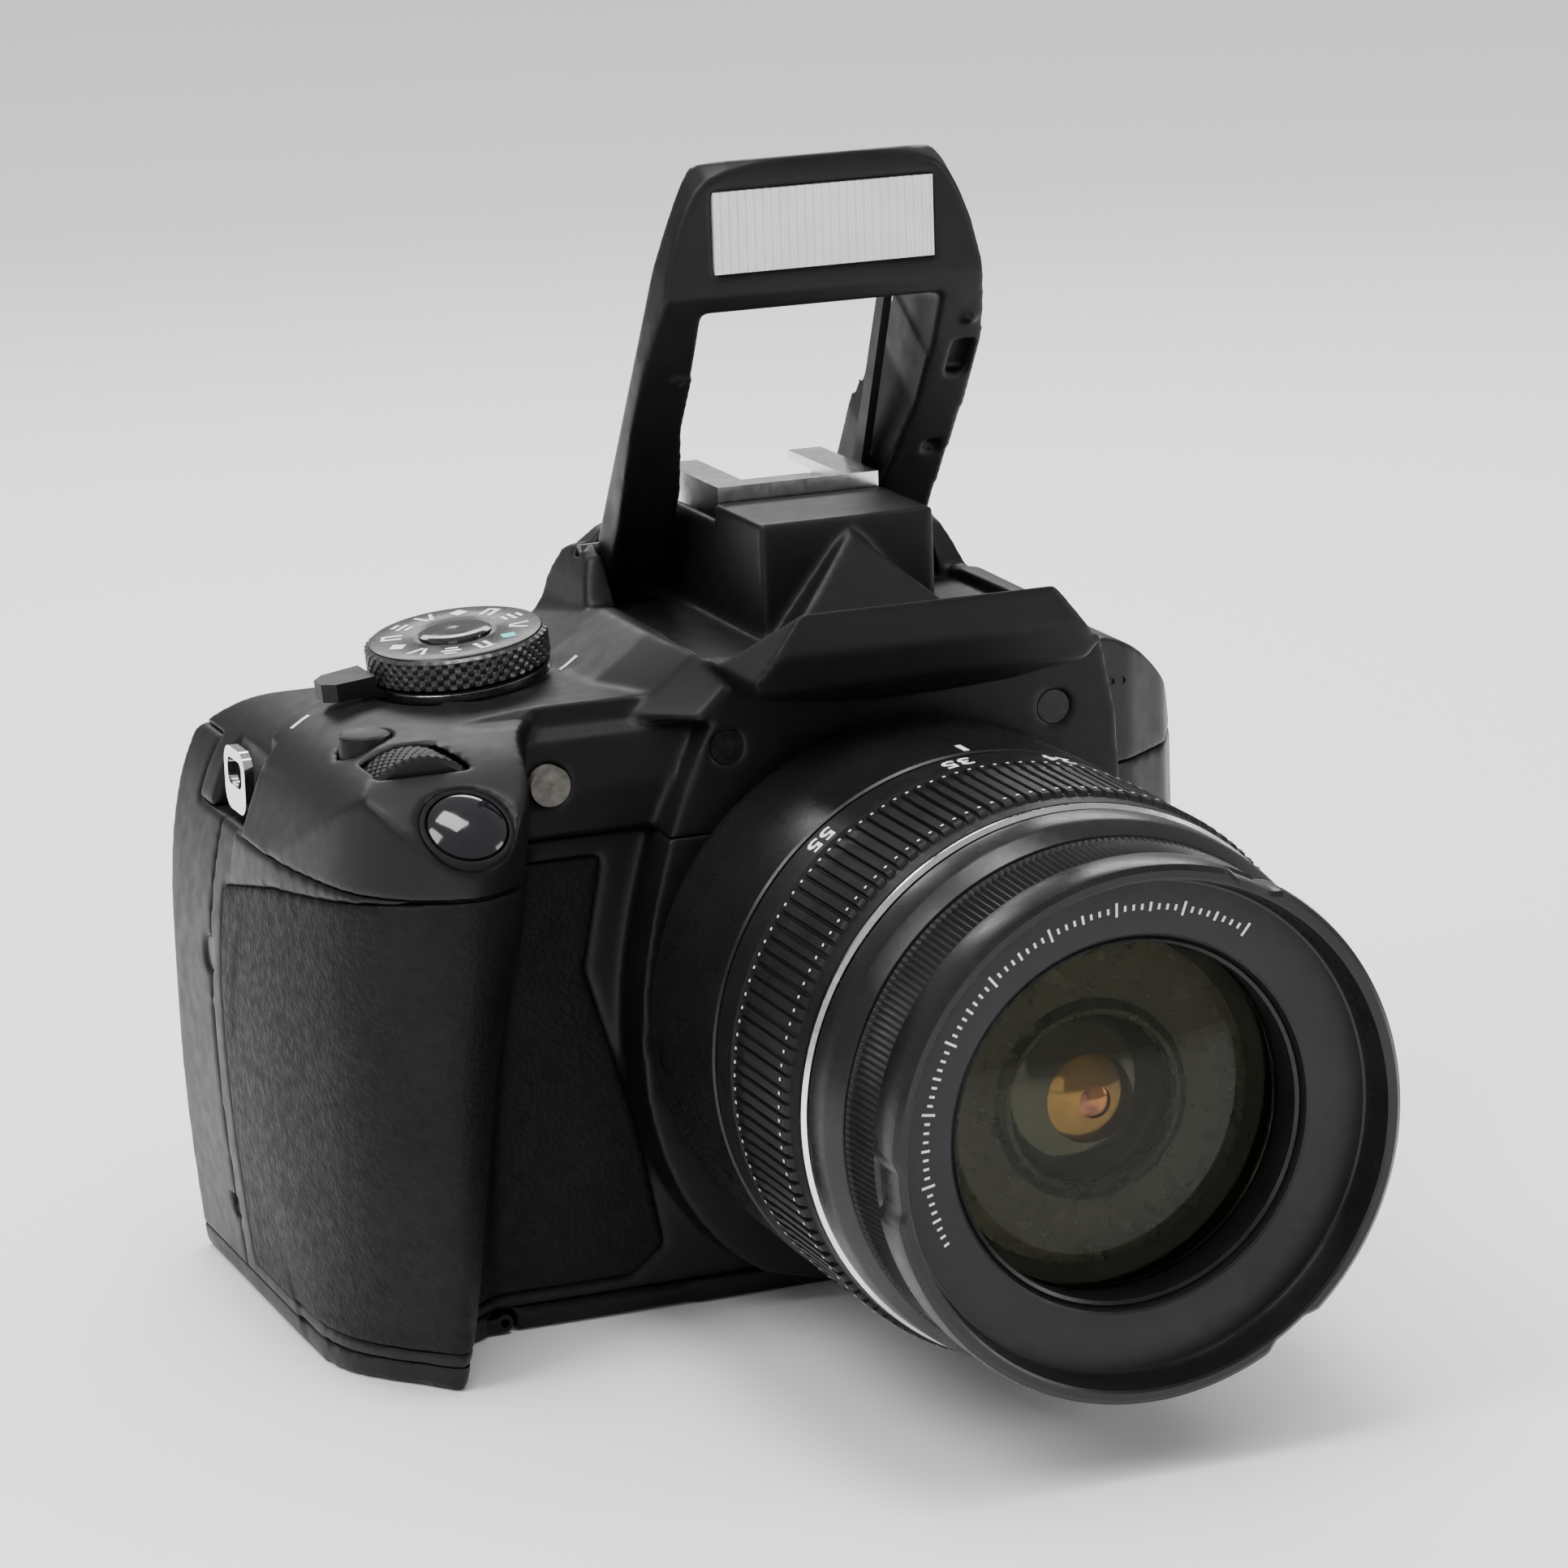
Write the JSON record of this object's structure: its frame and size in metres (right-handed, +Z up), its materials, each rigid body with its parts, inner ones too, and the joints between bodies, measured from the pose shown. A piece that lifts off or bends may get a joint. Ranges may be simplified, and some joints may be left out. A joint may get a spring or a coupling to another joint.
{
  "type": "dslr camera",
  "caption": "Digital single-lens reflex camera with a raised pop-up flash and a zoom lens, for taking still photographs and video.",
  "frame": {"origin": "mouth of the tripod socket in the base, under the optical axis", "axes": "+Z up, -Y the way the lens looks, -X the grip side"},
  "size_m": [0.1285, 0.1342, 0.1402],
  "materials": {
    "body_plastic": "fine moulded texture",
    "grip_rubber": "grained rubber",
    "gloss_black": "polished",
    "lens_plastic": "satin moulded",
    "lens_rubber": "ribbed",
    "name_plastic": "satin grey",
    "steel": "brushed",
    "chrome": "bright",
    "trim_silver": "satin",
    "front_glass": "coated",
    "clear_glass": "clear",
    "screen_glass": "tinted",
    "inner_plastic": "matte",
    "circuit": "solder mask",
    "sensor": "coated",
    "battery": "moulded",
    "mirror": "silvered"
  },
  "bodies": {
    "camera": {"base_cover": "body_plastic", "front_cover": "body_plastic", "rear_cover": "body_plastic", "top_cover": "body_plastic", "grip_rubber": "grip_rubber", "thumb_rubber": "grip_rubber", "body_screws": "steel", "lens_mount_ring": "steel", "tripod_socket": "steel", "screen_window": "screen_glass", "screen_panel": "inner_plastic", "red_eye_lamp": "clear_glass", "strap_lugs": "steel", "hot_shoe": "steel", "eyepiece_lens": "clear_glass", "eyecup": "grip_rubber", "flash_hinge_pins": "steel", "mirror_box": "inner_plastic", "focal_plane_shutter": "inner_plastic", "image_sensor": "sensor", "main_board": "circuit", "pentamirror": "clear_glass", "focusing_screen": "clear_glass", "battery_pack": "battery", "memory_card": "battery", "flash_capacitor": "trim_silver", "fixed_barrel": "lens_plastic", "rear_element": "front_glass"},
    "flash_head": {"flash_housing": "body_plastic", "flash_window": "clear_glass", "flash_reflector": "chrome", "flash_tube": "clear_glass", "flash_link": "body_plastic"},
    "mode_dial": {"mode_dial": "body_plastic", "mode_dial_cap": "gloss_black"},
    "main_dial": {"main_dial": "body_plastic"},
    "power_lever": {"power_lever": "body_plastic"},
    "shutter_button": {"shutter_button": "gloss_black"},
    "flash_button": {"flash_button": "gloss_black"},
    "lens_release": {"lens_release_button": "gloss_black"},
    "dioptre_knob": {"dioptre_knob": "body_plastic"},
    "mirror": {"reflex_mirror": "mirror"},
    "battery_door": {"battery_door": "body_plastic"},
    "battery_latch": {"battery_latch": "body_plastic"},
    "terminal_cover": {"terminal_cover": "grip_rubber"},
    "focus_switch": {"focus_switch": "lens_plastic"},
    "stabiliser_switch": {"stabiliser_switch": "lens_plastic"},
    "zoom_ring": {"zoom_ring": "lens_plastic", "trim_ring": "trim_silver"},
    "inner_barrel": {"inner_barrel": "lens_plastic"},
    "focus_ring": {"focus_ring": "lens_rubber", "front_ring": "name_plastic", "front_element": "front_glass"},
    "cross_keys": {"cross_keys": "gloss_black"},
    "set_button": {"set_button": "gloss_black"},
    "lock_button": {"lock_button": "gloss_black"},
    "focus_point_button": {"focus_point_button": "gloss_black"},
    "live_view_button": {"live_view_button": "gloss_black"},
    "exposure_button": {"exposure_button": "gloss_black"},
    "playback_button": {"playback_button": "gloss_black"}
  },
  "joints": [
    {"name": "flash_hinge", "type": "hinge", "parent": "camera", "child": "flash_head", "pos_m": [0, 0.021, 0.088], "axis": [1, 0, 0], "range_deg": [0, 57], "stiffness_Nm_per_rad": 0.02, "springref_deg": -28.65},
    {"name": "mode_dial_turn", "type": "hinge", "parent": "camera", "child": "mode_dial", "pos_m": [-0.0458, 0.0034, 0.0782], "axis": [-0.1043, -0.0497, 0.9933], "continuous": true},
    {"name": "main_dial_turn", "type": "hinge", "parent": "camera", "child": "main_dial", "pos_m": [-0.0612, -0.0249, 0.0682], "axis": [0, 1, 0], "continuous": true},
    {"name": "power_lever_turn", "type": "hinge", "parent": "camera", "child": "power_lever", "pos_m": [-0.0458, 0.0034, 0.0782], "axis": [0.1043, 0.0497, -0.9933], "range_deg": [0, 25]},
    {"name": "shutter_press", "type": "slide", "parent": "camera", "child": "shutter_button", "axis": [0, 0.6392, -0.769], "range_m": [0, 0.0012], "stiffness_N_per_m": 300, "springref_m": -0.0005},
    {"name": "flash_button_press", "type": "slide", "parent": "camera", "child": "flash_button", "axis": [0, 0, -1], "range_m": [0, 0.0005], "stiffness_N_per_m": 300, "springref_m": -0.0005},
    {"name": "lens_release_press", "type": "slide", "parent": "camera", "child": "lens_release", "axis": [0, 1, 0], "range_m": [0, 0.0025], "stiffness_N_per_m": 300, "springref_m": -0.0005},
    {"name": "dioptre_turn", "type": "hinge", "parent": "camera", "child": "dioptre_knob", "pos_m": [-0.019, 0.0315, 0.0832], "axis": [0, 1, 0], "range_deg": [-120, 120]},
    {"name": "mirror_lift", "type": "hinge", "parent": "camera", "child": "mirror", "pos_m": [0, 0.01, 0.0545], "axis": [-1, 0, 0], "range_deg": [0, 44], "stiffness_Nm_per_rad": 0.005, "springref_deg": -22.92},
    {"name": "battery_door_hinge", "type": "hinge", "parent": "camera", "child": "battery_door", "pos_m": [-0.0509, 0, 0.0013], "axis": [0, -1, 0], "range_deg": [0, 90]},
    {"name": "battery_latch_slide", "type": "slide", "parent": "battery_door", "child": "battery_latch", "axis": [1, 0, 0], "range_m": [0, 0.0016]},
    {"name": "terminal_cover_hinge", "type": "hinge", "parent": "camera", "child": "terminal_cover", "pos_m": [0.051, 0.0097, 0.03], "axis": [0, 0, -1], "range_deg": [0, 95], "stiffness_Nm_per_rad": 0.0005},
    {"name": "focus_switch_slide", "type": "slide", "parent": "camera", "child": "focus_switch", "axis": [0, 0, -1], "range_m": [0, 0.0019]},
    {"name": "stabiliser_switch_slide", "type": "slide", "parent": "camera", "child": "stabiliser_switch", "axis": [0, 0, -1], "range_m": [0, 0.0019]},
    {"name": "zoom_turn", "type": "hinge", "parent": "camera", "child": "zoom_ring", "pos_m": [0, -0.06, 0.04], "axis": [0, -1, 0], "range_deg": [0, 50]},
    {"name": "inner_barrel_slide", "type": "slide", "parent": "camera", "child": "inner_barrel", "axis": [0, -1, 0], "range_m": [0, 0.011]},
    {"name": "focus_turn", "type": "hinge", "parent": "inner_barrel", "child": "focus_ring", "pos_m": [0, -0.09, 0.04], "axis": [0, -1, 0], "range_deg": [-45, 45]},
    {"name": "cross_keys_press", "type": "slide", "parent": "camera", "child": "cross_keys", "axis": [0, -1, 0], "range_m": [0, 0.0004], "stiffness_N_per_m": 300, "springref_m": -0.0005},
    {"name": "set_button_press", "type": "slide", "parent": "camera", "child": "set_button", "axis": [0, -1, 0], "range_m": [0, 0.0004], "stiffness_N_per_m": 300, "springref_m": -0.0005},
    {"name": "lock_button_press", "type": "slide", "parent": "camera", "child": "lock_button", "axis": [0, -1, 0], "range_m": [0, 0.0004], "stiffness_N_per_m": 300, "springref_m": -0.0005},
    {"name": "focus_point_button_press", "type": "slide", "parent": "camera", "child": "focus_point_button", "axis": [0, -1, 0], "range_m": [0, 0.0004], "stiffness_N_per_m": 300, "springref_m": -0.0005},
    {"name": "live_view_button_press", "type": "slide", "parent": "camera", "child": "live_view_button", "axis": [0, -1, 0], "range_m": [0, 0.0004], "stiffness_N_per_m": 300, "springref_m": -0.0005},
    {"name": "exposure_button_press", "type": "slide", "parent": "camera", "child": "exposure_button", "axis": [0, -1, 0], "range_m": [0, 0.0004], "stiffness_N_per_m": 300, "springref_m": -0.0005},
    {"name": "playback_button_press", "type": "slide", "parent": "camera", "child": "playback_button", "axis": [0, -1, 0], "range_m": [0, 0.0004], "stiffness_N_per_m": 300, "springref_m": -0.0005}
  ],
  "couplings": [
    {"joint": "inner_barrel_slide", "follows": "zoom_turn", "m_per_rad": 0.0126}
  ]
}
